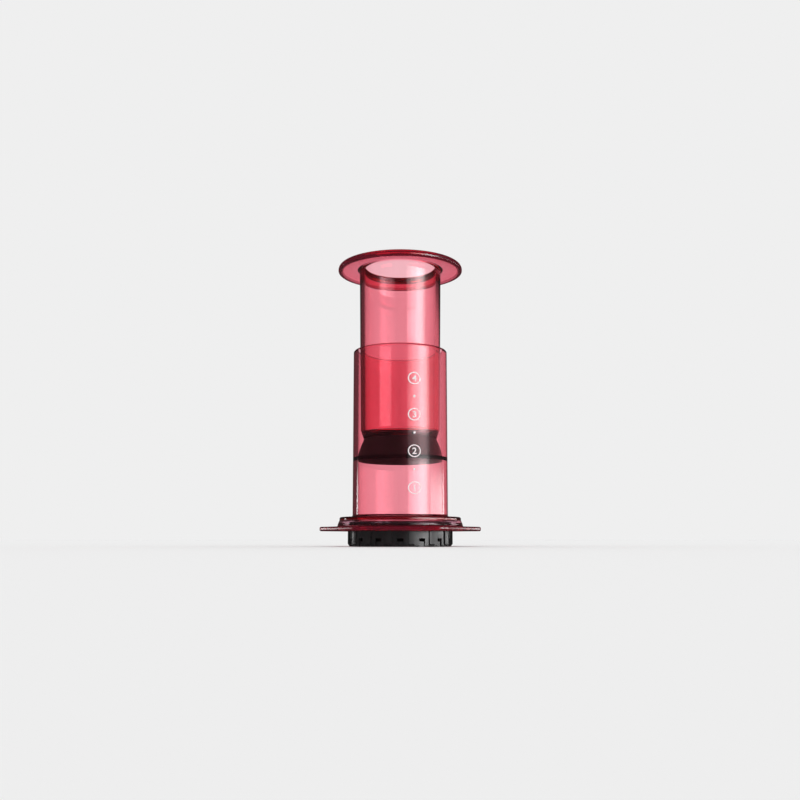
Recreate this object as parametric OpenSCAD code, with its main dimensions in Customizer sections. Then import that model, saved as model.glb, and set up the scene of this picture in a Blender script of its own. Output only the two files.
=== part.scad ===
// Hand press coffee maker: a clear brewing tube on a hexagonal brim, a plunger with a
// rubber seal that slides in it, and a perforated cap that twists on below the brim.
// Millimetres. The origin is on the axis, on the plane that the cap stands on, +Z up.

/* [Chamber] */
// Inside diameter of the brewing tube
bore_d = 59.4; // [48:0.1:74]
// Wall of the brewing tube
tube_wall = 3.3; // [2.7:0.1:4.5]
// Length of the brewing tube above the deck
tube_h = 117; // [60:1:180]
// Rounding of the tube's rim
rim_round = 1.2; // [0.4:0.1:1.3]
// Wall of the neck that the cap goes round
neck_wall = 2.2; // [1.6:0.1:2.6]
// Thickness of the raised deck and of its skirt
deck_t = 2.6; // [1.8:0.1:3.4]
// Height of the deck above the brim
deck_rise = 6.6; // [5:0.1:8]
// Room between the cap and the skirt round it
cap_room = 3.2; // [1:0.1:6]
// Spread of the skirt from the deck down to the brim
skirt_flare = 1.2; // [0.2:0.1:3]
// Fillets at the foot of the tube and of the skirt
foot_fillet = 1.6; // [0.5:0.1:1.9]

/* [Brim] */
// Reach of the hexagon's flats past the skirt
brim_reach = 6.2; // [3:0.1:12]
// Thickness of the brim
brim_t = 3; // [2:0.1:4.5]
// Radius of the hexagon's corners
brim_corner_r = 8; // [2:0.5:16]

/* [Bayonet] */
// Number of lugs on the neck, of tabs in the cap and of ribs round it
bay_count = 15; // [6:1:18]
// Share of each bay that a lug or a tab takes
lug_share = 0.375; // [0.25:0.005:0.4]
// Height of a lug
lug_h = 2.2; // [1.4:0.1:3]
// How far a lug stands out of the neck
lug_reach = 1.6; // [1:0.1:2.4]
// Height of the lugs above the neck's lip
lug_lift = 1.9; // [1:0.1:4]
// Height of a tab in the cap
tab_h = 2.4; // [1.4:0.1:3.5]
// Turn that a stop on each lug takes up
stop_deg = 2; // [1:0.1:2.4]
// Running gap between lugs and tabs, and between the cap and the neck
bayonet_gap = 0.3; // [0.15:0.05:0.5]
// Gap under a locked tab
lock_gap = 0.1; // [0.05:0.01:0.2]

/* [Filter cap] */
// Wall of the cap between its ribs
cap_wall = 1.6; // [1.2:0.1:2.4]
// Height of the cap's wall above its tabs
cap_lead = 6.3; // [3:0.1:9]
// Room between the cap's top and the deck
deck_room = 1.1; // [0.5:0.1:3]
// Rounding of the cap's outer edges
cap_round = 0.6; // [0.2:0.1:0.7]
// How far the grip ribs stand out
rib_out = 0.8; // [0.4:0.1:1.5]
// Width of a grip rib
rib_w = 4.4; // [2.5:0.1:5.5]
// Thickness of the perforated floor
floor_t = 2.2; // [1.4:0.1:3.5]
// Height of the ring that the cap stands on
foot_h = 0.8; // [0.4:0.1:1.5]
// Width of that ring
foot_w = 2.8; // [1.8:0.1:3.5]
// Width of the window in each bay
window_w = 4; // [1.5:0.1:5]
// Height of the window in each bay
window_h = 2; // [0.8:0.1:2.4]
// Depth of the slot that runs down from each window
slot_depth = 0.8; // [0.3:0.1:1]
// Diameter of a hole in the floor
hole_d = 2.2; // [1:0.1:3]
// Rings of holes round the middle one
hole_rings = 5; // [2:1:5]
// Distance of the outer ring of holes from the bore's wall
hole_margin = 3.7; // [2.5:0.1:6]

/* [Paper filter] */
// Thickness of the paper
paper_t = 0.25; // [0.1:0.05:0.5]
// Gap between the paper's edge and the cap's wall
paper_gap = 1.8; // [1.2:0.1:2.4]
// Gap between the paper and the neck's lip
lip_gap = 0.05; // [0.02:0.01:0.2]

/* [Plunger] */
// Gap between the bore and the plunger's lower end
plunger_gap = 2; // [1.6:0.1:3.5]
// How much the plunger's radius grows from its lower end to the hand flange
plunger_taper = 1.35; // [0.2:0.05:1.4]
// Wall of the plunger
plunger_wall = 2.9; // [2:0.1:3.5]
// Diameter of the hand flange
grip_d = 88.8; // [76:0.1:110]
// Thickness of the hand flange at its edge
grip_t = 4.6; // [4.3:0.1:6]
// Thickness of the hand flange at the plunger
grip_web = 3.6; // [2.5:0.1:5]
// How far the flange's edge hangs below its middle
grip_droop = 1; // [0.2:0.1:3]
// Width of the level ring round the plunger's mouth
mouth_ring = 5; // [2:0.1:7]
// Rounding of the flange's upper edge
grip_round = 3; // [1:0.1:3.3]
// Rounding of the flange's lower edge
grip_under = 1.2; // [0.2:0.1:1.5]
// Width of the level strip under the flange's edge
grip_strip = 1.8; // [1.6:0.1:4]
// Fillet under the hand flange
grip_fillet = 2; // [0.5:0.1:4]
// Room between the hand flange and the rim when the plunger is right down
grip_room = 2.5; // [1:0.1:12]
// Height of the cone at the plunger's lower end
cone_h = 5.8; // [3:0.1:9]
// Stroke that is left before the seal meets the paper
stroke_left = 55; // [10:0.5:56]

/* [Seal] */
// Height of the seal
seal_h = 15.9; // [13:0.1:22]
// Gap between the bore and the top of the seal
seal_taper = 4.1; // [3:0.1:5.5]
// Radius of the curve of the seal's side
seal_curve_r = 65; // [40:1:120]
// Height of the lip that runs along the bore
lip_h = 2.4; // [0.8:0.1:3]
// Rounding of the lip's lower edge
lip_round = 0.5; // [0.3:0.1:2]
// Running gap between the lip and the bore
lip_clear = 0.05; // [0.02:0.01:0.1]
// Thickness of the seal's face
seal_face_t = 4.2; // [2.5:0.1:6]
// Depth of the groove that the seal snaps into
groove_depth = 2.2; // [1:0.1:3]
// Height of the groove that the seal snaps into
groove_h = 5.5; // [3:0.1:7]
// Wall of the seal at its top
seal_wall = 2.8; // [1.8:0.1:4]
// Gap between the seal and the plunger's nose
seal_clear = 0.05; // [0.02:0.01:0.1]

/* [Hidden] */
$fn = 120;
// Overlap of shapes that are joined, and reach of cuts past a surface
over = 0.4;
// How far the hexagon's flats lie inside its round corners
flat_inset = 0.02;

// Radii, from the bore outwards
bore_r = bore_d / 2;
tube_r = bore_r + tube_wall;
neck_r = bore_r + neck_wall;
lug_r = neck_r + lug_reach;
tab_r = neck_r + bayonet_gap;
cap_in_r = lug_r + bayonet_gap;
cap_r = cap_in_r + cap_wall;
rib_r = cap_r + rib_out;
paper_r = cap_in_r - paper_gap;
deck_r = rib_r + cap_room + deck_t;
skirt_r = deck_r + skirt_flare;
brim_af = 2 * (skirt_r + brim_reach);

// Heights, from the plane that the cap stands on
floor_z = foot_h + floor_t;
paper_z = floor_z + paper_t;
lip_z = paper_z + lip_gap;
lug_z = lip_z + lug_lift;
tab_z = lug_z + lug_h + lock_gap;
cap_top_z = tab_z + tab_h + cap_lead;
deck_z = cap_top_z + deck_room + deck_t;
brim_top_z = deck_z - deck_rise;
brim_z = brim_top_z - brim_t;
rim_z = deck_z + tube_h;
seal_z = paper_z + stroke_left;
waist_z = seal_z + seal_h;
grip_z = rim_z + stroke_left + grip_room;
grip_top_z = grip_z + grip_t;
mouth_z = grip_top_z + grip_droop;

// Bayonet, in degrees round the axis; a bay faces -Y
bay_deg = 360 / bay_count;
lug_deg = bay_deg * lug_share;
first_bay = -90;
gap_deg = bayonet_gap / lug_r * 180 / PI;

// Plunger, seal and the groove between them
plunger_end_r = bore_r - plunger_gap;
plunger_top_r = plunger_end_r + plunger_taper;
mouth_r = plunger_top_r - plunger_wall;
grip_r = grip_d / 2;
grip_lean = atan2(grip_droop, grip_r - mouth_r - mouth_ring);
crown_z = grip_top_z - grip_round * (1 - sin(grip_lean)) / cos(grip_lean);
seal_top_r = bore_r - seal_taper;
lip_r = bore_r - lip_clear;
nose_r = seal_top_r - seal_wall;
groove_r = nose_r - groove_depth;
nose_z = seal_z + seal_face_t;
groove_z = waist_z - groove_h;

CLEAR_RED = [0.85, 0.16, 0.25, 0.55];
BLACK_RUBBER = [0.10, 0.10, 0.10];
BLACK_PLASTIC = [0.14, 0.14, 0.14];
PAPER_WHITE = [0.93, 0.91, 0.86];

// Fills the inside corner at the origin, towards +X and +Y
module fillet(r) {
    difference() {
        translate([-over, -over]) square(r + over);
        translate([r, r]) circle(r);
    }
}

// What rounding takes off an outside corner towards +X and +Y, whose upper edge falls by lean
// degrees towards +X; the arc's centre is the origin
module corner_waste(r, lean = 0) {
    touch = r * [sin(lean), cos(lean)];
    out = r + over;
    difference() {
        polygon([[0, 0], [out, 0], [out, out], [touch[0], out], touch]);
        circle(r);
    }
}

// Rectangle of a revolved profile between two radii and two heights
module band(r0, r1, z0, z1) {
    translate([r0, z0]) square([r1 - r0, z1 - z0]);
}

// Sector of a revolved profile, centred on the angle at
module sector(at, deg) {
    rotate(at - deg / 2) rotate_extrude(angle = deg) children();
}

module each_bay(turn = 0) {
    for (i = [0:bay_count - 1]) rotate(first_bay + turn + i * bay_deg) children();
}

// Hexagon with round corners, two of them on the X axis; the flats lie a hair inside the
// corners, so that their lines cross the arcs at any size
module rounded_hexagon(af, corner_r) {
    corner = (af / 2 - corner_r) / cos(30);
    flat = af / 2 - flat_inset;
    circle(r = corner, $fn = 6);
    for (i = [0:5]) rotate(60 * i) {
        translate([corner, 0]) circle(corner_r);
        rotate(30) translate([0, -corner / 2]) square([flat, corner]);
    }
}

// Tube, deck and skirt as one revolved wall
module chamber_wall() {
    rotate_extrude() difference() {
        union() {
            band(bore_r, neck_r, lip_z, deck_z);
            band(bore_r, tube_r, deck_z - deck_t, rim_z);
            band(neck_r - over, deck_r, deck_z - deck_t, deck_z);
            polygon([
                [skirt_r - deck_t, brim_z],
                [skirt_r, brim_z],
                [skirt_r, brim_top_z + foot_fillet],
                [deck_r, deck_z - deck_t + over],
                [deck_r - deck_t, deck_z - deck_t + over],
                [skirt_r - deck_t, brim_top_z + foot_fillet]
            ]);
            translate([tube_r, deck_z]) fillet(foot_fillet);
            translate([skirt_r, brim_top_z]) fillet(foot_fillet);
        }
        translate([tube_r - rim_round, rim_z - rim_round]) corner_waste(rim_round);
        translate([bore_r + rim_round, rim_z - rim_round]) rotate(90) corner_waste(rim_round);
        translate([deck_r - rim_round, deck_z - rim_round]) corner_waste(rim_round);
    }
}

module brim() {
    translate([0, 0, brim_z]) linear_extrude(brim_t) difference() {
        rounded_hexagon(brim_af, brim_corner_r);
        circle(skirt_r - deck_t / 2);
    }
}

// Lugs that carry the cap's tabs, each with a lead below and a stop at one end
module bayonet_lugs() {
    lead = lug_reach / 2;
    each_bay() {
        sector(0, lug_deg) polygon([
            [neck_r - over, lug_z],
            [lug_r - lead, lug_z],
            [lug_r, lug_z + lead],
            [lug_r, lug_z + lug_h],
            [neck_r - over, lug_z + lug_h]
        ]);
        sector(lug_deg / 2 + gap_deg + stop_deg / 2, stop_deg)
            band(neck_r - over, lug_r, lug_z, tab_z + tab_h);
    }
}

module chamber() {
    color(CLEAR_RED) union() {
        chamber_wall();
        brim();
        bayonet_lugs();
    }
}

// Solid outline of the plunger down to its nose, before it is hollowed
module plunger_outline() {
    difference() {
        polygon([
            [0, nose_z],
            [nose_r, nose_z],
            [nose_r, groove_z],
            [groove_r, groove_z],
            [groove_r, waist_z],
            [seal_top_r, waist_z],
            [plunger_end_r, waist_z + cone_h],
            [plunger_top_r, mouth_z - grip_web],
            [grip_r - grip_strip, grip_z],
            [grip_r, grip_z],
            [grip_r, grip_top_z],
            [mouth_r + mouth_ring, mouth_z],
            [0, mouth_z]
        ]);
        translate([grip_r - grip_round, crown_z]) corner_waste(grip_round, grip_lean);
        translate([grip_r - grip_under, grip_z + grip_under]) rotate(-90) corner_waste(grip_under);
    }
    translate([plunger_top_r, mouth_z - grip_web]) rotate(-90) fillet(grip_fillet);
}

// Inside of the plunger, open at the top, with the same wall down to the closed nose
module plunger_hollow() {
    polygon([
        [0, nose_z + plunger_wall],
        [groove_r - plunger_wall, nose_z + plunger_wall],
        [groove_r - plunger_wall, waist_z + plunger_wall],
        [seal_top_r - plunger_wall, waist_z + plunger_wall],
        [plunger_end_r - plunger_wall, waist_z + cone_h],
        [mouth_r, grip_z],
        [mouth_r, mouth_z + over],
        [0, mouth_z + over]
    ]);
    translate([mouth_r + rim_round, mouth_z - rim_round]) rotate(90) corner_waste(rim_round);
}

module plunger() {
    color(CLEAR_RED) rotate_extrude() difference() {
        plunger_outline();
        plunger_hollow();
    }
}

// Curved side of the seal: a wide arc that meets the lip's upper edge and the waist
module seal_side() {
    lip_top = [lip_r, seal_z + lip_round + lip_h];
    rise = [seal_top_r, waist_z] - lip_top;
    chord = norm(rise);
    inward = [-rise[1], rise[0]] / chord;
    middle = lip_top + rise / 2;
    centre = middle + inward * sqrt(seal_curve_r * seal_curve_r - chord * chord / 4);
    intersection() {
        translate(centre) circle(seal_curve_r, $fn = 720);
        band(0, lip_r, lip_top[1], waist_z);
    }
}

module plunger_seal() {
    color(BLACK_RUBBER) rotate_extrude() difference() {
        union() {
            seal_side();
            difference() {
                band(0, lip_r, seal_z, seal_z + lip_round + lip_h);
                translate([lip_r - lip_round, seal_z + lip_round]) rotate(-90) corner_waste(lip_round);
            }
        }
        band(0, nose_r + seal_clear, nose_z - seal_clear, groove_z + seal_clear);
        band(0, groove_r + seal_clear, nose_z, waist_z + over);
    }
}

// Cup of the cap: wall, floor and the ring that it stands on
module cap_cup() {
    rotate_extrude() difference() {
        union() {
            band(0, cap_r, foot_h, floor_z);
            band(cap_r - foot_w, cap_r, 0, floor_z);
            band(cap_in_r, cap_r, 0, cap_top_z);
        }
        translate([cap_r - cap_round, cap_round]) rotate(-90) corner_waste(cap_round);
        translate([cap_r - cap_round, cap_top_z - cap_round]) corner_waste(cap_round);
    }
}

// Grip ribs between the windows, with sloping ends
module cap_ribs() {
    rib_deg = rib_w / rib_r * 180 / PI;
    each_bay(bay_deg / 2) sector(0, rib_deg) polygon([
        [cap_in_r + cap_wall / 2, rib_out],
        [cap_r, rib_out],
        [rib_r, 2 * rib_out],
        [rib_r, cap_top_z - 3 * rib_out],
        [cap_r, cap_top_z - 2 * rib_out],
        [cap_in_r + cap_wall / 2, cap_top_z - 2 * rib_out]
    ]);
}

// Tabs that lie on the neck's lugs when the cap is locked
module cap_tabs() {
    lead = lug_reach / 2;
    each_bay() sector(0, lug_deg) polygon([
        [tab_r, tab_z],
        [cap_in_r + cap_wall / 2, tab_z],
        [cap_in_r + cap_wall / 2, tab_z + tab_h],
        [tab_r + lead, tab_z + tab_h],
        [tab_r, tab_z + tab_h - lead]
    ]);
}

// Window under each tab, and the slot that runs from it to the cap's lower edge
module cap_windows() {
    window_deg = window_w / cap_r * 180 / PI;
    window_z = floor_z + over;
    each_bay() {
        sector(0, window_deg) band(cap_in_r - over, rib_r, window_z, window_z + window_h);
        sector(0, window_deg) band(cap_r - slot_depth, rib_r, -over, window_z + over);
    }
}

// Rings of holes, six more in each ring than in the one inside it
module floor_holes() {
    pitch = (bore_r - hole_margin) / hole_rings;
    cylinder(d = hole_d, h = floor_z + over, $fn = 24);
    for (ring = [1:hole_rings], i = [0:6 * ring - 1])
        rotate(i * 60 / ring) translate([ring * pitch, 0, 0])
            cylinder(d = hole_d, h = floor_z + over, $fn = 24);
}

module filter_cap() {
    color(BLACK_PLASTIC) difference() {
        union() {
            cap_cup();
            cap_ribs();
            cap_tabs();
        }
        cap_windows();
        floor_holes();
    }
}

module paper_filter() {
    color(PAPER_WHITE) translate([0, 0, floor_z]) cylinder(r = paper_r, h = paper_t);
}

chamber();
plunger();
plunger_seal();
filter_cap();
paper_filter();
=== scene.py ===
"""Looks of the hand press coffee maker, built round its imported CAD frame. Metres, +Z up."""

import math

import bmesh
import bpy
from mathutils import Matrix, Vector


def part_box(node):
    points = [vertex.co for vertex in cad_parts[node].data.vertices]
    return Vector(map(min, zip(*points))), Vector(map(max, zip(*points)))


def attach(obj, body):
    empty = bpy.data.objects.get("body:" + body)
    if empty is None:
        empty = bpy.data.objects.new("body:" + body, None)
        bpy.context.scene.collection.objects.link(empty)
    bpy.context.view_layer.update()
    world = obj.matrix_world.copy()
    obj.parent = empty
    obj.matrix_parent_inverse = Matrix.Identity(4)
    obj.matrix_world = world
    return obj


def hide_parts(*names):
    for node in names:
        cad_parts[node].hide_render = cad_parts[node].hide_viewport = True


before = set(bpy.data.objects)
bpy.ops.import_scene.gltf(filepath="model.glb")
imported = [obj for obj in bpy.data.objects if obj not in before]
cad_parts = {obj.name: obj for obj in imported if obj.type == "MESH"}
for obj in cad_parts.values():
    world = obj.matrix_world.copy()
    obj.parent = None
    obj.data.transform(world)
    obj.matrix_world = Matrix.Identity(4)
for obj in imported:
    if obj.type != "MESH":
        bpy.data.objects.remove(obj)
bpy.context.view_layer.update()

# Sizes and outlines below are in millimetres, as in the CAD part
MM = 0.001


def node_box(node):
    """Lowest and highest corner of a CAD node, in millimetres."""
    low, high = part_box(node)
    return low / MM, high / MM


chamber_low, chamber_high = node_box("chamber")
plunger_low, plunger_high = node_box("plunger")
seal_low, seal_high = node_box("plunger_seal")
cap_high = node_box("filter_cap")[1]
paper_low = node_box("paper_filter")[0]

# Chamber
BORE_R = 29.7
TUBE_R = 33.0
NECK_R = 31.9
DECK_R = 42.0
SKIRT_R = 43.2
DECK_T = 2.6
DECK_Z = 19.9
BRIM_T = 3.0
BRIM_RISE = 6.6
BRIM_AF = chamber_high.y - chamber_low.y
BRIM_CORNER_R = 8.0
BRIM_SIDE_DEG = 60
RIM_Z = chamber_high.z
LIP_Z = chamber_low.z
BRIM_TOP_Z = DECK_Z - BRIM_RISE
BRIM_Z = BRIM_TOP_Z - BRIM_T
FLARE_LIFT = 0.4
UNDER_WIDER = 0.2
FOOT_FILLET = 1.6
BRIM_FILLET = 1.35
RIM_ROUND = 1.2
RIM_OUT_ROUND = 1.6
EDGE_ROUND = 0.6
BRIM_ROUND = 1.0
FLARE_ROUND = 0.8
UNDER_ROUND = 0.5
LIP_ROUND = 0.3
LIP_OUT_ROUND = 0.4

# Bayonet
BAY_COUNT = 15
BAY_DEG = 360 / BAY_COUNT
FIRST_BAY = -90
LUG_REACH = 1.6
LUG_Z = 5.2
LUG_H = 2.2
LUG_LEAD = 0.8
LUG_HALF_DEG = 4.5
STOP_AT_DEG = 6
STOP_HALF_DEG = 0.5
TAB_Z = 7.5
TAB_H = 2.4
TAB_R = 32.2

# Plunger
GRIP_T = 4.6
GRIP_WEB = 3.6
GRIP_DROOP = 1.0
GRIP_STRIP = 1.8
MOUTH_RING = 5.0
GRIP_R = plunger_high.x
MOUTH_Z = plunger_high.z
GRIP_TOP_Z = MOUTH_Z - GRIP_DROOP
GRIP_Z = GRIP_TOP_Z - GRIP_T
PLUNGER_WALL = 2.9
PLUNGER_TOP_R = 29.05
PLUNGER_END_R = 27.7
CONE_H = 5.8
NOSE_R = 22.8
NOSE_Z = plunger_low.z
GROOVE_R = 20.6
GROOVE_H = 5.5
WAIST_R = 25.6
WAIST_Z = seal_high.z
GRIP_ROUND = 3.0
GRIP_UNDER_ROUND = 1.2
GRIP_FILLET = 2.0
STRIP_ROUND = 0.5
DOME_ROUND = 20.0
MOUTH_ROUND = 1.2
INNER_WALL_ROUND = 20.0
CONE_ROUND = 3.0
WAIST_ROUND = 0.5
GROOVE_ROUND = 0.3
NOSE_ROUND = 0.8
NOSE_TOP_ROUND = 0.4
INNER_WAIST_ROUND = 1.2
INNER_GROOVE_ROUND = 1.0
INNER_NOSE_ROUND = 1.5

# Seal, whose lip is pressed a little into the bore
SEAL_PRESS = 0.02
SEAL_Z = seal_low.z
SEAL_LIP_R = BORE_R + SEAL_PRESS
SEAL_LIP_H = 2.9
SEAL_BAND_H = 1.0
SEAL_CURVE_R = 65.0
SEAL_CURVE_STEPS = 24
SEAL_CLEAR = 0.05
SEAL_LIP_ROUND = 0.5
SEAL_TOP_ROUND = 0.8
SNAP_ROUND = 0.2
POCKET_ROUND = 0.6

# Filter cap
CAP_R = 35.4
CAP_IN_R = 33.8
CAP_TOP_Z = cap_high.z
RIB_OUT = 0.8
RIB_W = 4.4
FLOOR_Z = paper_low.z
FLOOR_EDGE_R = 29.0
FOOT_H = 0.8
FOOT_W = 2.8
WINDOW_W = 4.0
WINDOW_LOW = 3.4
WINDOW_HIGH = 5.4
SLOT_TOP = 3.8
SLOT_DEPTH = 0.8
WINDOW_LEVELS = [WINDOW_LOW, SLOT_TOP, WINDOW_HIGH]
WINDOW_HALF_DEG = math.degrees(WINDOW_W / CAP_R) / 2
RIB_FROM_DEG = BAY_DEG / 2 - math.degrees(RIB_W / (CAP_R + RIB_OUT)) / 2
SLOPE_DEG = 0.15
FILL_DEGS = [0.9, 1.8, 3.6, 5.8, 7.2, 9.6, 10.8]
HOLE_R = 1.1
HOLE_RINGS = 5
HOLE_SIDES = 6
HOLE_PITCH = 5.2
HOLE_EDGE = 0.15
HOLE_STEPS = 20
CAP_ROUND = 0.6
CAP_IN_ROUND = 0.3
FLOOR_ROUND = 0.2
FOOT_ROUND = 0.25

# Printed scale on the chamber
SCALE_COUNT = 4
SCALE_DEG = 16.8
SCALE_FIRST_Z = 38.6
SCALE_PITCH = 24.6
MARK_R = 4.25
MARK_STROKE = 0.72
MARK_WIDE = 1.07
MARK_STEPS = 72
DIGIT_SIZE = 6.0
DIGIT_BOLD = 0.12
DIGIT_STEPS = 6
DOT_R = 0.85
DOT_STEPS = 32
PRINT_T = 0.04

# Height of the steps at lugs and tabs; radii that are closer than this count as one
STEP = 0.04
# Arcs get a point about every so many degrees
ARC_STEP = math.radians(9)
# Straight stretches longer than the first length get a point that far from each end
HELD_LEAST = 0.5
HELD_AT = 0.1
# Vertices closer than this are joined, in metres
JOIN_WITHIN = 1e-7
# Edges sharper than this are drawn sharp
SHARP = math.radians(38)


# Mesh helpers


def rounded(corners, closed):
    """Points of an outline given by corners (radius, height) or (radius, height, rounding)."""
    points = []
    count = len(corners)
    for i, corner in enumerate(corners):
        here = Vector(corner[:2])
        at_end = not closed and i in (0, count - 1)
        if at_end or len(corner) == 2:
            points.append((here.x, here.y))
            continue
        back = (Vector(corners[i - 1][:2]) - here).normalized()
        ahead = (Vector(corners[(i + 1) % count][:2]) - here).normalized()
        half = back.angle(ahead) / 2
        centre = here + (back + ahead).normalized() * (corner[2] / math.sin(half))
        start = here + back * (corner[2] / math.tan(half)) - centre
        end = here + ahead * (corner[2] / math.tan(half)) - centre
        turn = math.pi - 2 * half
        steps = max(2, round(turn / ARC_STEP))
        for k in range(steps + 1):
            part = k / steps
            spoke = start * math.sin((1 - part) * turn) + end * math.sin(part * turn)
            point = centre + spoke / math.sin(turn)
            points.append((point.x, point.y))
    return points


def held(points):
    """Closed outline with a point close to each end of its straight stretches, to keep them level."""
    outline = []
    for here, there in zip(points, points[1:] + points[:1]):
        outline.append(here)
        if math.dist(here, there) < HELD_LEAST:
            continue
        way = (Vector(there) - Vector(here)).normalized() * HELD_AT
        outline.append((here[0] + way.x, here[1] + way.y))
        outline.append((there[0] - way.x, there[1] - way.y))
    return outline


def arc_between(start, end, radius, steps):
    """Points of an arc between two points of an outline, bulging to the right of the way."""
    start = Vector(start)
    end = Vector(end)
    chord = end - start
    left = Vector((-chord.y, chord.x)).normalized()
    centre = (start + end) / 2 + left * math.sqrt(radius**2 - chord.length_squared / 4)
    first = math.atan2(start.y - centre.y, start.x - centre.x)
    last = math.atan2(end.y - centre.y, end.x - centre.x)
    turns = [first + (last - first) * k / steps for k in range(steps + 1)]
    return [(centre.x + radius * math.cos(t), centre.y + radius * math.sin(t)) for t in turns]


def circle(radius, steps):
    """Points evenly round a circle."""
    turns = [2 * math.pi * k / steps for k in range(steps)]
    return [(radius * math.cos(t), radius * math.sin(t)) for t in turns]


def join_rings(mesh, low, high):
    """Adds the faces between two rings of vertices."""
    for k in range(len(low)):
        n = (k + 1) % len(low)
        mesh.faces.new([low[k], low[n], high[n], high[k]])


def turned(mesh, outline, angles, closed, spread=None, skip=None):
    """Adds an outline turned round Z to a bmesh and gives its rings of vertices."""
    rings = []
    for r, z in outline:
        if r < STEP:
            rings.append([mesh.verts.new((0, 0, z * MM))] * len(angles))
            continue
        ring = []
        for angle in angles:
            here = spread(r, z, angle) if spread else r
            a = math.radians(angle)
            ring.append(mesh.verts.new((here * math.cos(a) * MM, here * math.sin(a) * MM, z * MM)))
        rings.append(ring)
    pairs = list(zip(range(len(rings)), range(1, len(rings))))
    if closed:
        pairs.append((len(rings) - 1, 0))
    for i, j in pairs:
        for c in range(len(angles)):
            d = (c + 1) % len(angles)
            if skip and skip(outline[i], outline[j], angles[c], angles[d]):
                continue
            corners = [rings[i][c], rings[i][d], rings[j][d], rings[j][c]]
            corners = list(dict.fromkeys(corners))
            if len(corners) > 2:
                mesh.faces.new(corners)
    return rings


def finished(name, mesh):
    """Object from a bmesh, with smooth faces and sharp edges."""
    bmesh.ops.remove_doubles(mesh, verts=mesh.verts, dist=JOIN_WITHIN)
    bmesh.ops.recalc_face_normals(mesh, faces=mesh.faces)
    data = bpy.data.meshes.new(name)
    mesh.to_mesh(data)
    mesh.free()
    data.shade_smooth()
    data.set_sharp_from_angle(angle=SHARP)
    obj = bpy.data.objects.new(name, data)
    bpy.context.scene.collection.objects.link(obj)
    return obj


def stands_for(obj, node, body):
    """Makes a piece ride on a body in a CAD node's place."""
    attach(obj, body)
    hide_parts(node)


# Node helpers

# Most of a noise lies between these two
NOISE_LOW = 0.3
NOISE_HIGH = 0.7


class Graph:
    """Node tree of a material or a world, with short ways to add and join nodes."""

    def __init__(self, tree):
        self.nodes = tree.nodes
        self.links = tree.links

    def put(self, value, socket):
        """Sets a constant on a socket, or joins an output to it."""
        if isinstance(value, (int, float, tuple)):
            socket.default_value = value
        else:
            self.links.new(value, socket)

    def calc(self, operation, first, second=None):
        """Result of a sum, a product, a comparison or a function."""
        node = self.nodes.new("ShaderNodeMath")
        node.operation = operation
        self.put(first, node.inputs[0])
        if second is not None:
            self.put(second, node.inputs[1])
        return node.outputs["Value"]

    def split(self, vector):
        """Outputs X, Y and Z of a vector."""
        node = self.nodes.new("ShaderNodeSeparateXYZ")
        self.put(vector, node.inputs["Vector"])
        return node.outputs

    def mixed(self, share, low, high, kind="FLOAT"):
        """Value or colour between two others, by a share from 0 to 1."""
        node = self.nodes.new("ShaderNodeMix")
        node.data_type = kind
        self.put(share, node.inputs["Factor"])
        self.put(low, node.inputs["A"])
        self.put(high, node.inputs["B"])
        return node.outputs["Result"]

    def step(self, value, low, high):
        """Smooth step from 0 to 1 as a value goes from low to high."""
        node = self.nodes.new("ShaderNodeMapRange")
        node.interpolation_type = "SMOOTHSTEP"
        self.put(value, node.inputs["Value"])
        self.put(low, node.inputs["From Min"])
        self.put(high, node.inputs["From Max"])
        return node.outputs["Result"]

    def noise(self, scale, detail=2.0, stretch=(1, 1, 1)):
        """Noise fixed to the object, with its scale per metre."""
        place = self.nodes.new("ShaderNodeTexCoord")
        mapping = self.nodes.new("ShaderNodeMapping")
        self.put(place.outputs["Object"], mapping.inputs["Vector"])
        self.put(stretch, mapping.inputs["Scale"])
        texture = self.nodes.new("ShaderNodeTexNoise")
        self.put(mapping.outputs["Vector"], texture.inputs["Vector"])
        self.put(scale, texture.inputs["Scale"])
        self.put(detail, texture.inputs["Detail"])
        return texture.outputs["Fac"]

    def spread(self, noise, low, high):
        """Values from low to high, led by a noise."""
        node = self.nodes.new("ShaderNodeMapRange")
        self.put(noise, node.inputs["Value"])
        self.put(NOISE_LOW, node.inputs["From Min"])
        self.put(NOISE_HIGH, node.inputs["From Max"])
        self.put(low, node.inputs["To Min"])
        self.put(high, node.inputs["To Max"])
        return node.outputs["Result"]

    def tones(self, noise, dark, light):
        """Colours between two tones, led by a noise."""
        ramp = self.nodes.new("ShaderNodeValToRGB")
        first, last = ramp.color_ramp.elements
        first.position = NOISE_LOW
        first.color = (*dark, 1)
        last.position = NOISE_HIGH
        last.color = (*light, 1)
        self.put(noise, ramp.inputs["Fac"])
        return ramp.outputs["Color"]

    def bump(self, noise, shader, strength, depth):
        """Bump of a real depth in metres on a shader."""
        node = self.nodes.new("ShaderNodeBump")
        self.put(noise, node.inputs["Height"])
        self.put(strength, node.inputs["Strength"])
        self.put(depth, node.inputs["Distance"])
        self.put(node.outputs["Normal"], shader.inputs["Normal"])

    def matt(self, colour):
        """Shader that scatters light of one colour."""
        node = self.nodes.new("ShaderNodeBsdfDiffuse")
        self.put(colour, node.inputs["Color"])
        return node.outputs["BSDF"]

    def layered(self, share, under, over):
        """One shader over another, by a share from 0 to 1."""
        node = self.nodes.new("ShaderNodeMixShader")
        self.put(share, node.inputs["Fac"])
        self.put(under, node.inputs[1])
        self.put(over, node.inputs[2])
        return node.outputs["Shader"]


def new_material(name):
    """Node material, its graph and its Principled shader."""
    material = bpy.data.materials.new(name)
    material.use_nodes = True
    graph = Graph(material.node_tree)
    return material, graph, graph.nodes["Principled BSDF"]


# Clear red plastic

CLEAR_IOR = 1.54
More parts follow.
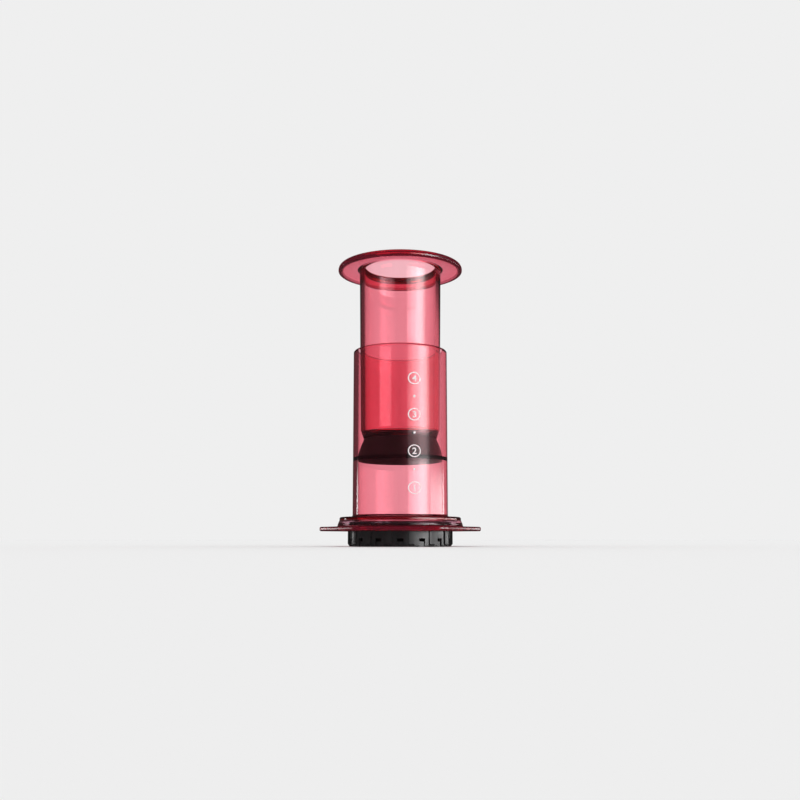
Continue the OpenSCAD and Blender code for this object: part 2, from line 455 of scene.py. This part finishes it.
# Colour of the plastic, and how densely it tints the chamber and the plunger
TINT = (0.98, 0.055, 0.221, 1)
CHAMBER_DENSITY = 190
PLUNGER_DENSITY = 232
# Share of light that is scattered at all faces, and what the edges add to it
HAZE = 0.008
EDGE_HAZE = 0.1
HAZE_RED = (0.9, 0.07, 0.15, 1)
# Painted shade on the edges, and the tones that the skirt and the hand flange let through
EDGE_PAINTED_SHADE = (0.38, 0.17, 0.22, 1)
SKIRT_TONE = (0.78, 0.92, 0.96, 1)
FLANGE_TONE = (1, 0.66, 0.74, 1)
# Painted shade: matt black on the chamber from a little under the brim down, and on the plunger up to a
# little over its waist, where the dark cap and seal lie behind
PAINTED_SHADE_BLACK = (0.012, 0.009, 0.009, 1)
UNDER_BRIM = 0.4
OVER_WAIST = 0.725
# Faces whose normal's height is above this lie level
LEVEL = 0.7


def surface_spot(graph):
    """Place on the object in metres, and the height of the face's normal, from 0 to 1."""
    place = graph.nodes.new("ShaderNodeTexCoord")
    where = graph.split(place.outputs["Object"])
    facing = graph.split(place.outputs["Normal"])
    spot = {axis: where[axis] for axis in "XYZ"}
    spot["tilt"] = graph.calc("ABSOLUTE", facing["Z"])
    return spot


def outside_of(graph, spot, radius):
    """1 where the distance from the axis is more than a radius in millimetres."""
    squares = [graph.calc("MULTIPLY", spot[axis], spot[axis]) for axis in "XY"]
    distance = graph.calc("SQRT", graph.calc("ADD", *squares))
    return graph.calc("GREATER_THAN", distance, radius * MM)


def brim_edge(graph, spot):
    """1 on the upright faces of the brim, which get painted shade."""
    low = graph.calc("LESS_THAN", spot["Z"], BRIM_TOP_Z * MM)
    upright = graph.calc("LESS_THAN", spot["tilt"], LEVEL)
    return graph.calc("MULTIPLY", low, upright)


def skirt_faces(graph, spot):
    """1 on the upright faces of the skirt under the deck."""
    outside = outside_of(graph, spot, TUBE_R + FOOT_FILLET)
    upright = graph.calc("LESS_THAN", spot["tilt"], LEVEL)
    return graph.calc("MULTIPLY", outside, upright)


def flange_edge(graph, spot):
    """1 on the rounded edge of the hand flange, which gets painted shade."""
    return outside_of(graph, spot, GRIP_R - GRIP_ROUND)


def flange_faces(graph, spot):
    """1 on the upper and lower face of the hand flange."""
    high = graph.calc("GREATER_THAN", spot["Z"], (GRIP_Z - GRIP_WEB) * MM)
    level = graph.calc("GREATER_THAN", spot["tilt"], LEVEL)
    return graph.calc("MULTIPLY", high, level)


def clear_red(name, density, painted_shade_below_z, edge, faces, face_tone):
    """Polished clear plastic, tinted through its thickness, with faint handling marks.

    Its edges get a painted shade in their colour and scatter more light, and some faces have a tone of
    their own.
    Below a height it is painted matt black, a painted shade where black rubber or plastic lies behind
    it.
    """
    material, graph, shader = new_material(name)
    graph.put(1, shader.inputs["Transmission Weight"])
    graph.put(CLEAR_IOR, shader.inputs["IOR"])
    spot = surface_spot(graph)
    edge_shade_and_haze = edge(graph, spot)
    marks = graph.noise(scale=90, detail=4, stretch=(1, 1, 0.35))
    colour = graph.tones(marks, dark=(0.97, 0.95, 0.95), light=(1, 1, 1))
    colour = graph.mixed(faces(graph, spot), colour, face_tone, "RGBA")
    # Painted shade: the edge mask darkens the edges' colour to a deep maroon
    colour = graph.mixed(edge_shade_and_haze, colour, EDGE_PAINTED_SHADE, "RGBA")
    graph.put(colour, shader.inputs["Base Color"])
    graph.put(graph.spread(marks, low=0, high=0.03), shader.inputs["Roughness"])
    flow = graph.noise(scale=28, detail=1, stretch=(1, 1, 0.25))
    graph.bump(flow, shader, strength=0.06, depth=0.4 * MM)
    share = graph.calc("ADD", graph.calc("MULTIPLY", edge_shade_and_haze, EDGE_HAZE), HAZE)
    surface = graph.layered(share, shader.outputs["BSDF"], graph.matt(HAZE_RED))
    # Painted shade: below a height the clear plastic is replaced by matt black
    painted_shade = graph.calc("LESS_THAN", spot["Z"], painted_shade_below_z * MM)
    surface = graph.layered(painted_shade, surface, graph.matt(PAINTED_SHADE_BLACK))
    tint = graph.nodes.new("ShaderNodeVolumeAbsorption")
    graph.put(TINT, tint.inputs["Color"])
    graph.put(density, tint.inputs["Density"])
    output = graph.nodes["Material Output"]
    graph.put(surface, output.inputs["Surface"])
    graph.put(tint.outputs["Volume"], output.inputs["Volume"])
    return material


def chamber_red():
    """Clear red of the chamber, with painted black shade on its neck, where the cap lies behind it."""
    looks = (brim_edge, skirt_faces, SKIRT_TONE)
    return clear_red("chamber_red", CHAMBER_DENSITY, BRIM_Z - UNDER_BRIM, *looks)


def plunger_red():
    """Clear red of the plunger, with painted black shade over its end, where the seal lies behind it."""
    looks = (flange_edge, flange_faces, FLANGE_TONE)
    return clear_red("plunger_red", PLUNGER_DENSITY, WAIST_Z + OVER_WAIST, *looks)


# Other materials


def black_rubber():
    """Matt black rubber with a faint bloom."""
    material, graph, shader = new_material("black_rubber")
    bloom = graph.noise(scale=160, detail=4)
    colour = graph.tones(bloom, dark=(0.008, 0.008, 0.009), light=(0.016, 0.015, 0.016))
    graph.put(colour, shader.inputs["Base Color"])
    graph.put(graph.spread(bloom, low=0.5, high=0.65), shader.inputs["Roughness"])
    graph.put(0.2, shader.inputs["Specular IOR Level"])
    graph.bump(graph.noise(scale=2600), shader, strength=0.25, depth=0.03 * MM)
    return material


def black_plastic():
    """Black moulded plastic with a fine satin texture."""
    material, graph, shader = new_material("black_plastic")
    shade = graph.noise(scale=120, detail=4)
    colour = graph.tones(shade, dark=(0.018, 0.018, 0.019), light=(0.03, 0.03, 0.031))
    graph.put(colour, shader.inputs["Base Color"])
    graph.put(graph.spread(shade, low=0.16, high=0.26), shader.inputs["Roughness"])
    graph.put(0.65, shader.inputs["Specular IOR Level"])
    graph.bump(graph.noise(scale=3200), shader, strength=0.3, depth=0.03 * MM)
    return material


def filter_paper():
    """Filter paper with fibres and a soft creped surface."""
    material, graph, shader = new_material("filter_paper")
    fibres = graph.noise(scale=900, detail=6, stretch=(1, 0.35, 1))
    colour = graph.tones(fibres, dark=(0.66, 0.61, 0.52), light=(0.86, 0.83, 0.76))
    graph.put(colour, shader.inputs["Base Color"])
    graph.put(graph.spread(fibres, low=0.8, high=0.95), shader.inputs["Roughness"])
    crepe = graph.noise(scale=2200, detail=4)
    graph.bump(crepe, shader, strength=0.5, depth=0.05 * MM)
    return material


def print_ink():
    """Pale printing ink, slightly uneven."""
    material, graph, shader = new_material("print_ink")
    wear = graph.noise(scale=1400, detail=3)
    colour = graph.tones(wear, dark=(0.92, 0.82, 0.84), light=(0.97, 0.91, 0.92))
    graph.put(colour, shader.inputs["Base Color"])
    graph.put(graph.spread(wear, low=0.4, high=0.55), shader.inputs["Roughness"])
    graph.bump(wear, shader, strength=0.2, depth=0.01 * MM)
    return material


# Chamber


def hexagon(apothem, angle):
    """Radius of the brim's outline, or of one inside it, at an angle; two corners lie on X."""
    half_deg = BRIM_SIDE_DEG / 2
    half_side = math.radians(half_deg)
    corner_r = BRIM_CORNER_R - (BRIM_AF / 2 - apothem)
    centre = (BRIM_AF / 2 - BRIM_CORNER_R) / math.cos(half_side)
    off = math.radians(abs((angle + half_deg) % BRIM_SIDE_DEG - half_deg))
    tangent = math.atan2(corner_r * math.sin(half_side), centre + corner_r * math.cos(half_side))
    if off < tangent:
        return centre * math.cos(off) + math.sqrt(corner_r**2 - (centre * math.sin(off)) ** 2)
    return apothem / math.cos(half_side - off)


def bay_offset(angle):
    """Angle from the middle of the nearest bay."""
    return (angle - FIRST_BAY + BAY_DEG / 2) % BAY_DEG - BAY_DEG / 2


def lug(z, off):
    """How far the bayonet's lugs and stops stand out of the neck at a height."""
    if LUG_Z <= z <= LUG_Z + LUG_H and abs(off) < LUG_HALF_DEG:
        return LUG_REACH / 2 + min((z - LUG_Z) / LUG_LEAD, 1) * LUG_REACH / 2
    if LUG_Z <= z <= TAB_Z + TAB_H and abs(off - STOP_AT_DEG) < STOP_HALF_DEG:
        return LUG_REACH
    return 0


def chamber_spread(r, z, angle):
    """Turns the brim's outer points into a hexagon and adds the lugs to the neck."""
    if r > SKIRT_R + FOOT_FILLET + STEP:
        return hexagon(r, angle)
    if abs(r - NECK_R) < STEP:
        return r + lug(z, bay_offset(angle))
    return r


def make_chamber():
    """Tube, deck, flared skirt, brim and neck, as one closed outline."""
    brim_r = BRIM_AF / 2
    under = DECK_Z - DECK_T
    flare_top = under + FLARE_LIFT
    flare_low = BRIM_TOP_Z + FOOT_FILLET
    stop_top = TAB_Z + TAB_H
    lug_top = LUG_Z + LUG_H
    corners = [
        (BORE_R, LIP_Z, LIP_ROUND),
        (BORE_R, RIM_Z, RIM_ROUND),
        (TUBE_R, RIM_Z, RIM_OUT_ROUND),
        (TUBE_R, DECK_Z, FOOT_FILLET),
        (DECK_R, DECK_Z, RIM_ROUND),
        (DECK_R, flare_top, FLARE_ROUND),
        (SKIRT_R, flare_low, FLARE_ROUND),
        (SKIRT_R, BRIM_TOP_Z, BRIM_FILLET),
        (brim_r, BRIM_TOP_Z, BRIM_ROUND),
        (brim_r, BRIM_Z, BRIM_ROUND),
        (SKIRT_R - DECK_T, BRIM_Z, EDGE_ROUND),
        (SKIRT_R - DECK_T, flare_low, FLARE_ROUND),
        (DECK_R - DECK_T + UNDER_WIDER, under, UNDER_ROUND),
        (NECK_R, under, UNDER_ROUND),
        (NECK_R, stop_top + STEP),
        (NECK_R, stop_top),
        (NECK_R, lug_top + STEP),
        (NECK_R, lug_top),
        (NECK_R, LUG_Z + LUG_LEAD),
        (NECK_R, LUG_Z),
        (NECK_R, LUG_Z - STEP),
        (NECK_R, LIP_Z, LIP_OUT_ROUND),
    ]
    mesh = bmesh.new()
    outline = held(rounded(corners, True))
    turned(mesh, outline, range(FIRST_BAY, FIRST_BAY + 360), True, chamber_spread)
    return finished("brew_chamber", mesh)


# Plunger and its seal


def make_plunger():
    """Tube with a closed nose, a groove for the seal, a cone and a domed hand flange."""
    inner_top = PLUNGER_TOP_R - PLUNGER_WALL
    inner_end = PLUNGER_END_R - PLUNGER_WALL
    inner_waist = WAIST_R - PLUNGER_WALL
    inner_nose = GROOVE_R - PLUNGER_WALL
    groove_z = WAIST_Z - GROOVE_H
    corners = [
        (0, NOSE_Z),
        (NOSE_R, NOSE_Z, NOSE_ROUND),
        (NOSE_R, groove_z, NOSE_TOP_ROUND),
        (GROOVE_R, groove_z, GROOVE_ROUND),
        (GROOVE_R, WAIST_Z, GROOVE_ROUND),
        (WAIST_R, WAIST_Z, WAIST_ROUND),
        (PLUNGER_END_R, WAIST_Z + CONE_H, CONE_ROUND),
        (PLUNGER_TOP_R, MOUTH_Z - GRIP_WEB, GRIP_FILLET),
        (GRIP_R - GRIP_STRIP, GRIP_Z, STRIP_ROUND),
        (GRIP_R, GRIP_Z, GRIP_UNDER_ROUND),
        (GRIP_R, GRIP_TOP_Z, GRIP_ROUND),
        (inner_top + MOUTH_RING, MOUTH_Z, DOME_ROUND),
        (inner_top, MOUTH_Z, MOUTH_ROUND),
        (inner_top, GRIP_Z, INNER_WALL_ROUND),
        (inner_end, WAIST_Z + CONE_H, CONE_ROUND),
        (inner_waist, WAIST_Z + PLUNGER_WALL, INNER_WAIST_ROUND),
        (inner_nose, WAIST_Z + PLUNGER_WALL, INNER_GROOVE_ROUND),
        (inner_nose, NOSE_Z + PLUNGER_WALL, INNER_NOSE_ROUND),
        (0, NOSE_Z + PLUNGER_WALL),
    ]
    mesh = bmesh.new()
    turned(mesh, rounded(corners, False), range(360), False)
    return finished("press_plunger", mesh)


def make_seal():
    """Rubber with a curved side, a lip along the bore and a pocket for the plunger's nose."""
    lip_top = (SEAL_LIP_R, SEAL_Z + SEAL_LIP_H)
    band = (WAIST_R, WAIST_Z - SEAL_BAND_H)
    side = arc_between(lip_top, band, SEAL_CURVE_R, SEAL_CURVE_STEPS)
    below = rounded([(0, SEAL_Z), (SEAL_LIP_R, SEAL_Z, SEAL_LIP_ROUND), lip_top], False)
    groove = GROOVE_R + SEAL_CLEAR
    nose = NOSE_R + SEAL_CLEAR
    snap_z = WAIST_Z - GROOVE_H + SEAL_CLEAR
    top_z = WAIST_Z - SEAL_CLEAR
    pocket_z = NOSE_Z - SEAL_CLEAR
    corners = [
        side[-1],
        (WAIST_R, top_z, SEAL_TOP_ROUND),
        (groove, top_z, GROOVE_ROUND),
        (groove, snap_z, SNAP_ROUND),
        (nose, snap_z, SNAP_ROUND),
        (nose, pocket_z, POCKET_ROUND),
        (0, pocket_z),
    ]
    mesh = bmesh.new()
    turned(mesh, below[:-1] + side[:-1] + rounded(corners, False), range(360), False)
    return finished("rubber_seal", mesh)


# Filter cap


def cap_angles():
    """Angles round the cap, closer together at the edges of windows, tabs and ribs."""
    edges = [WINDOW_HALF_DEG, LUG_HALF_DEG, RIB_FROM_DEG]
    slopes = [edge + SLOPE_DEG for edge in edges]
    half = sorted(edges + slopes + FILL_DEGS)
    bay = [-a for a in reversed(half)] + [0] + half + [BAY_DEG / 2]
    return [FIRST_BAY + i * BAY_DEG + a for i in range(BAY_COUNT) for a in bay]


def cap_spread(r, z, angle):
    """Adds ribs and slots to the outside of the cap and tabs to its inside."""
    off = abs(bay_offset(angle))
    if r > CAP_R - CAP_ROUND - STEP:
        rise = min((z - RIB_OUT) / RIB_OUT, (CAP_TOP_Z - 2 * RIB_OUT - z) / RIB_OUT, 1)
        if off > RIB_FROM_DEG + SLOPE_DEG / 2:
            return r + RIB_OUT * max(rise, 0)
        if off < WINDOW_HALF_DEG + SLOPE_DEG / 2 and z < SLOT_TOP + STEP:
            return min(r, CAP_R - SLOT_DEPTH)
        return r
    if abs(r - CAP_IN_R) < STEP and off < LUG_HALF_DEG + SLOPE_DEG / 2:
        if TAB_Z <= z <= TAB_Z + TAB_H:
            return TAB_R + max(z - (TAB_Z + TAB_H - LUG_LEAD), 0)
    return r


def in_window(angle, next_angle):
    """True where the middle between two angles lies in a window."""
    middle = angle + (next_angle - angle) % 360 / 2
    return abs(bay_offset(middle)) < WINDOW_HALF_DEG


def skip_window(low, high, angle, next_angle):
    """True for a wall face that lies in a window."""
    on_wall = min(low[0], high[0]) > CAP_IN_R - STEP and low[0] == high[0]
    at_height = WINDOW_LOW < (low[1] + high[1]) / 2 < WINDOW_HIGH
    return on_wall and at_height and in_window(angle, next_angle)


def close_windows(mesh, outline, rings, angles):
    """Joins the inner and outer edges of each window."""

    def wall(r, z):
        near = [ring for point, ring in zip(outline, rings) if math.dist(point, (r, z)) < STEP / 4]
        return near[0]

    inner = [wall(CAP_IN_R, z) for z in WINDOW_LEVELS]
    outer = [wall(CAP_R, z) for z in WINDOW_LEVELS]
    for c, angle in enumerate(angles):
        d = (c + 1) % len(angles)
        if in_window(angle, angles[d]):
            for i in (0, -1):
                mesh.faces.new([inner[i][c], inner[i][d], outer[i][d], outer[i][c]])
        if abs(abs(bay_offset(angle)) - WINDOW_HALF_DEG) < SLOPE_DEG / 2:
            for i in (0, 1):
                mesh.faces.new([inner[i][c], inner[i + 1][c], outer[i + 1][c], outer[i][c]])


def hole_places():
    """Middles of the holes: one on the axis, and rings that each have six more than the last."""
    places = [(0, 0)]
    for ring in range(1, HOLE_RINGS + 1):
        for i in range(HOLE_SIDES * ring):
            a = math.radians(360 / HOLE_SIDES * i / ring)
            places.append((ring * HOLE_PITCH * math.cos(a), ring * HOLE_PITCH * math.sin(a)))
    return places


def perforate(mesh, top, bottom):
    """Fills the floor inside two rings of vertices, with rings of holes through it."""
    levels = [
        (HOLE_R + HOLE_EDGE, FLOOR_Z),
        (HOLE_R, FLOOR_Z - HOLE_EDGE),
        (HOLE_R, FOOT_H + HOLE_EDGE),
        (HOLE_R + HOLE_EDGE, FOOT_H),
    ]
    above = []
    below = []
    for x, y in hole_places():
        rings = []
        for r, z in levels:
            spots = [(x + dx, y + dy, z) for dx, dy in circle(r, HOLE_STEPS)]
            rings.append([mesh.verts.new(Vector(s) * MM) for s in spots])
        for high, low in zip(rings, rings[1:]):
            join_rings(mesh, high, low)
        above.append(rings[0])
        below.append(rings[-1])
    for loops in (above + [top], below + [bottom]):
        sides = [side for ring in loops for side in zip(ring, ring[1:] + ring[:1])]
        edges = [mesh.edges.get(side) for side in sides]
        bmesh.ops.triangle_fill(mesh, edges=edges, use_beauty=True, use_dissolve=False)


def make_cap():
    """Ribbed wall with windows and tabs on a perforated floor."""
    tab_top = TAB_Z + TAB_H
    inside = WINDOW_LEVELS + [TAB_Z - STEP, TAB_Z, tab_top - LUG_LEAD, tab_top, tab_top + STEP]
    rib_top = [CAP_TOP_Z - 2 * RIB_OUT, CAP_TOP_Z - 3 * RIB_OUT]
    outside = rib_top + WINDOW_LEVELS[::-1] + [2 * RIB_OUT, RIB_OUT]
    corners = [(FLOOR_EDGE_R, FLOOR_Z), (CAP_IN_R, FLOOR_Z, FLOOR_ROUND)]
    corners += [(CAP_IN_R, z) for z in inside]
    corners += [(CAP_IN_R, CAP_TOP_Z, CAP_IN_ROUND), (CAP_R, CAP_TOP_Z, CAP_ROUND)]
    corners += [(CAP_R, z) for z in outside]
    corners += [(CAP_R, 0, CAP_ROUND), (CAP_R - FOOT_W, 0, FOOT_ROUND)]
    corners += [(CAP_R - FOOT_W, FOOT_H, FLOOR_ROUND), (FLOOR_EDGE_R, FOOT_H)]
    mesh = bmesh.new()
    outline = rounded(corners, False)
    angles = cap_angles()
    rings = turned(mesh, outline, angles, False, cap_spread, skip_window)
    close_windows(mesh, outline, rings, angles)
    perforate(mesh, rings[0], rings[-1])
    return finished("ribbed_cap", mesh)


# Printed scale


def on_tube(x, z, lift):
    """Place on the chamber's outside: x runs along the surface from the scale's middle."""
    a = math.radians(SCALE_DEG) + x * MARK_WIDE / TUBE_R
    r = TUBE_R + lift
    return Vector((r * math.sin(a), -r * math.cos(a), z)) * MM


def printed_ring(mesh, z, inner, outer, steps):
    """Adds a printed ring, or a dot where the inner radius is nought."""
    rings = []
    for r, lift in ((inner, -PRINT_T), (inner, PRINT_T), (outer, PRINT_T), (outer, -PRINT_T)):
        spots = [on_tube(dx, z + dz, lift) for dx, dz in circle(r, steps)]
        rings.append([mesh.verts.new(s) for s in spots])
    for low, high in zip(rings, rings[1:] + rings[:1]):
        join_rings(mesh, low, high)


def printed_digit(mesh, z, digit):
    """Adds a printed number, centred in its ring."""
    curve = bpy.data.curves.new("digit", "FONT")
    curve.body = str(digit)
    curve.size = DIGIT_SIZE
    curve.offset = DIGIT_BOLD
    curve.extrude = PRINT_T
    curve.resolution_u = DIGIT_STEPS
    source = bpy.data.objects.new("digit", curve)
    bpy.context.scene.collection.objects.link(source)
    bpy.context.view_layer.update()
    flat = source.evaluated_get(bpy.context.evaluated_depsgraph_get()).to_mesh()
    xs = [v.co.x for v in flat.vertices]
    ys = [v.co.y for v in flat.vertices]
    middle = ((min(xs) + max(xs)) / 2, (min(ys) + max(ys)) / 2)
    spots = [on_tube(v.co.x - middle[0], z + v.co.y - middle[1], v.co.z) for v in flat.vertices]
    verts = [mesh.verts.new(s) for s in spots]
    for face in flat.polygons:
        mesh.faces.new([verts[i] for i in face.vertices])
    bpy.data.objects.remove(source)


def make_scale():
    """Ringed numbers up the tube, with a dot between each two."""
    mesh = bmesh.new()
    for i in range(SCALE_COUNT):
        z = SCALE_FIRST_Z + i * SCALE_PITCH
        printed_ring(mesh, z, MARK_R - MARK_STROKE, MARK_R, MARK_STEPS)
        printed_digit(mesh, z, i + 1)
        if i:
            printed_ring(mesh, z - SCALE_PITCH / 2, 0, DOT_R, DOT_STEPS)
    return finished("printed_scale", mesh)


# Pieces on their bodies

chamber = make_chamber()
chamber.data.materials.append(chamber_red())
stands_for(chamber, "chamber", "chamber")

plunger = make_plunger()
plunger.data.materials.append(plunger_red())
stands_for(plunger, "plunger", "plunger")

seal = make_seal()
seal.data.materials.append(black_rubber())
stands_for(seal, "plunger_seal", "plunger")

cap = make_cap()
cap.data.materials.append(black_plastic())
stands_for(cap, "filter_cap", "cap")

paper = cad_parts["paper_filter"]
paper.data.materials.clear()
paper.data.materials.append(filter_paper())

scale = make_scale()
scale.data.materials.append(print_ink())
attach(scale, "chamber")


# Floor and camera: places in metres, pitch in degrees

PALE = 0.863
FLOOR_HALF = 4.0
FLOOR_DROP = 0.0001
FLOOR_IN_GLOSS = 0.1
CAMERA_AT = (-0.00015, -0.650, 0.0050)
CAMERA_PITCH = 8.5
CAMERA_LENS = 41.85
CAMERA_NEAR = 0.001
# Whole counts along a light path are compared with limits that lie this far from them
HALF = 0.5


def make_floor():
    """Pale floor, dim in reflections so that clear edges keep their depth."""
    mesh = bmesh.new()
    bmesh.ops.create_grid(mesh, x_segments=1, y_segments=1, size=FLOOR_HALF)
    data = bpy.data.meshes.new("floor")
    mesh.to_mesh(data)
    mesh.free()
    floor = bpy.data.objects.new("floor", data)
    floor.location.z = -FLOOR_DROP
    bpy.context.scene.collection.objects.link(floor)
    material, graph, shader = new_material("floor")
    path = graph.nodes.new("ShaderNodeLightPath")
    bounced = graph.calc("GREATER_THAN", path.outputs["Glossy Depth"], HALF)
    graph.put(graph.mixed(bounced, PALE, FLOOR_IN_GLOSS), shader.inputs["Base Color"])
    graph.put(1, shader.inputs["Roughness"])
    graph.put(0, shader.inputs["Specular IOR Level"])
    data.materials.append(material)


def make_camera():
    """Camera close to the table that looks a little upwards."""
    lens = bpy.data.cameras.new("camera")
    lens.lens = CAMERA_LENS
    lens.sensor_fit = "HORIZONTAL"
    lens.clip_start = CAMERA_NEAR
    camera = bpy.data.objects.new("camera", lens)
    camera.location = CAMERA_AT
    camera.rotation_euler = (math.radians(90 + CAMERA_PITCH), 0, 0)
    bpy.context.scene.collection.objects.link(camera)
    bpy.context.scene.camera = camera


# Light, all of it in the world

WHITE = 1.0
# Lights are given by bearings from the camera's side towards +X, in degrees, and the radiance there
KEY_RISE = [(15, 0), (23, 1.9), (38, 4.8), (54, 8.8)]
KEY_FALL = [(64, 8), (71, 4.2), (78, 0.8), (92, 0.2), (112, 0)]
KEY_STOPS = KEY_RISE + KEY_FALL
LEFT_STOPS = [(-62, 0), (-55, 6), (-28, 6), (-22, 0)]
LOW_LEFT = [(-131, 0), (-128, 5), (-124.4, 5), (-123.2, 0)]
LOW_SIDE = [(74, 0), (80, 5), (119, 5), (122, 0)]
LOW_BACK = [(123.2, 0), (124.4, 5), (128, 5), (134, 0)]
LOW_STOPS = LOW_LEFT + LOW_SIDE + LOW_BACK
# They fade between two heights of a direction, given as the Z of its unit vector
BOX_FOOT = (-0.15, 0)
BOX_TOP = (0.5, 0.35)
GAP_FOOT = (0.078, 0.090)
GAP_TOP = (0.120, 0.108)
LOW_FADE = (0.09, 0.04)
# The key light's share in the gap, and its shares behind two clear walls and behind more
KEY_GAP = 0.34
KEY_INSIDE = 0.6
KEY_DEEP = 0.3
# The room in reflections outside, and at the left and right in those inside clear walls
IN_GLOSS = 0.04
TURNED_LEFT = 0.14
TURNED_RIGHT = 0.8
RIGHT_FADE = (-0.05, 0.35)
LEVEL_FADE = (0.34, 0.24)
# The room low down behind a single clear wall
THROUGH_EDGE = 0.06
EDGE_FADE = (0.2, 0.12)
# Surfaces that a path crosses in one clear wall and in two
ONE_WALL = 2
TWO_WALLS = 4


def soft_box(graph, bearing, height, stops):
    """Light with soft edges, from its radiance at some bearings and a share by height."""
    brightest = max(radiance for degrees, radiance in stops)
    place = graph.nodes.new("ShaderNodeMapRange")
    graph.put(bearing, place.inputs["Value"])
    graph.put(-math.pi, place.inputs["From Min"])
    graph.put(math.pi, place.inputs["From Max"])
    ramp = graph.nodes.new("ShaderNodeValToRGB")
    ramp.color_ramp.interpolation = "EASE"
    marks = ramp.color_ramp.elements
    while len(marks) < len(stops):
        marks.new(1)
    for mark, (degrees, radiance) in zip(marks, stops):
        mark.position = (degrees + 180) / 360
        share = radiance / brightest
        mark.color = (share, share, share, 1)
    graph.put(place.outputs["Result"], ramp.inputs["Fac"])
    light = graph.calc("MULTIPLY", ramp.outputs["Color"], height)
    return graph.calc("MULTIPLY", light, brightest)


def between(graph, z, foot, top):
    """Share by height that fades in over a foot and out over a top."""
    return graph.calc("MULTIPLY", graph.step(z, *foot), graph.step(z, *top))


def dim_room(graph, way, bearing, inside):
    """Reflections: a dim room with low lights or, inside clear walls, one that is paler at the right."""
    steep = graph.calc("ABSOLUTE", way["Z"])
    right = graph.step(way["X"], *RIGHT_FADE)
    right = graph.calc("MULTIPLY", right, graph.step(steep, *LEVEL_FADE))
    turned_back = graph.mixed(right, TURNED_LEFT, TURNED_RIGHT)
    low_lights = soft_box(graph, bearing, graph.step(steep, *LOW_FADE), LOW_STOPS)
    mirrored = graph.calc("ADD", low_lights, IN_GLOSS)
    return graph.mixed(inside, mirrored, turned_back)


def side_lights(graph, z, bearing, inside, crossed):
    """Two soft boxes at the right, one over the other, and one at the left behind two walls."""
    tall = between(graph, z, BOX_FOOT, BOX_TOP)
    gap = between(graph, z, GAP_FOOT, GAP_TOP)
    stacked = graph.calc("MULTIPLY", tall, graph.mixed(gap, 1, KEY_GAP))
    near = graph.calc("LESS_THAN", crossed, TWO_WALLS + HALF)
    key_share = graph.mixed(inside, 1, graph.mixed(near, KEY_DEEP, KEY_INSIDE))
    key = graph.calc("MULTIPLY", soft_box(graph, bearing, stacked, KEY_STOPS), key_share)
    behind = graph.calc("GREATER_THAN", crossed, TWO_WALLS - HALF)
    left_share = graph.calc("MULTIPLY", behind, near)
    left = graph.calc("MULTIPLY", soft_box(graph, bearing, tall, LEFT_STOPS), left_share)
    return key, left


def seen_through(graph, z, crossed):
    """White behind clear walls, but dim low down behind a single wall, which darkens edges."""
    thin = graph.calc("LESS_THAN", crossed, ONE_WALL + HALF)
    edge_on = graph.calc("MULTIPLY", thin, graph.step(z, *EDGE_FADE))
    return graph.mixed(edge_on, WHITE, THROUGH_EDGE)


def make_world():
    """Pale studio that is white through clear walls and dim in reflections, with lights at the sides."""
    world = bpy.data.worlds.new("studio")
    world.use_nodes = True
    bpy.context.scene.world = world
    graph = Graph(world.node_tree)
    path = graph.nodes.new("ShaderNodeLightPath").outputs
    inside = path["Is Transmission Ray"]
    crossed = path["Transmission Depth"]
    place = graph.nodes.new("ShaderNodeTexCoord")
    way = graph.split(place.outputs["Generated"])
    front = graph.calc("MULTIPLY", way["Y"], -1)
    bearing = graph.calc("ARCTAN2", way["X"], front)
    mirrored = dim_room(graph, way, bearing, inside)
    for light in side_lights(graph, way["Z"], bearing, inside, crossed):
        mirrored = graph.calc("ADD", mirrored, light)
    bounced = graph.calc("GREATER_THAN", path["Glossy Depth"], HALF)
    level = graph.mixed(bounced, seen_through(graph, way["Z"], crossed), mirrored)
    level = graph.mixed(path["Is Diffuse Ray"], level, WHITE)
    level = graph.mixed(path["Is Camera Ray"], level, PALE)
    background = graph.nodes["Background"]
    graph.put(level, background.inputs["Strength"])
    graph.put((1, 1, 1, 1), background.inputs["Color"])


make_floor()
make_camera()
make_world()
bpy.context.scene.view_settings.view_transform = "Standard"
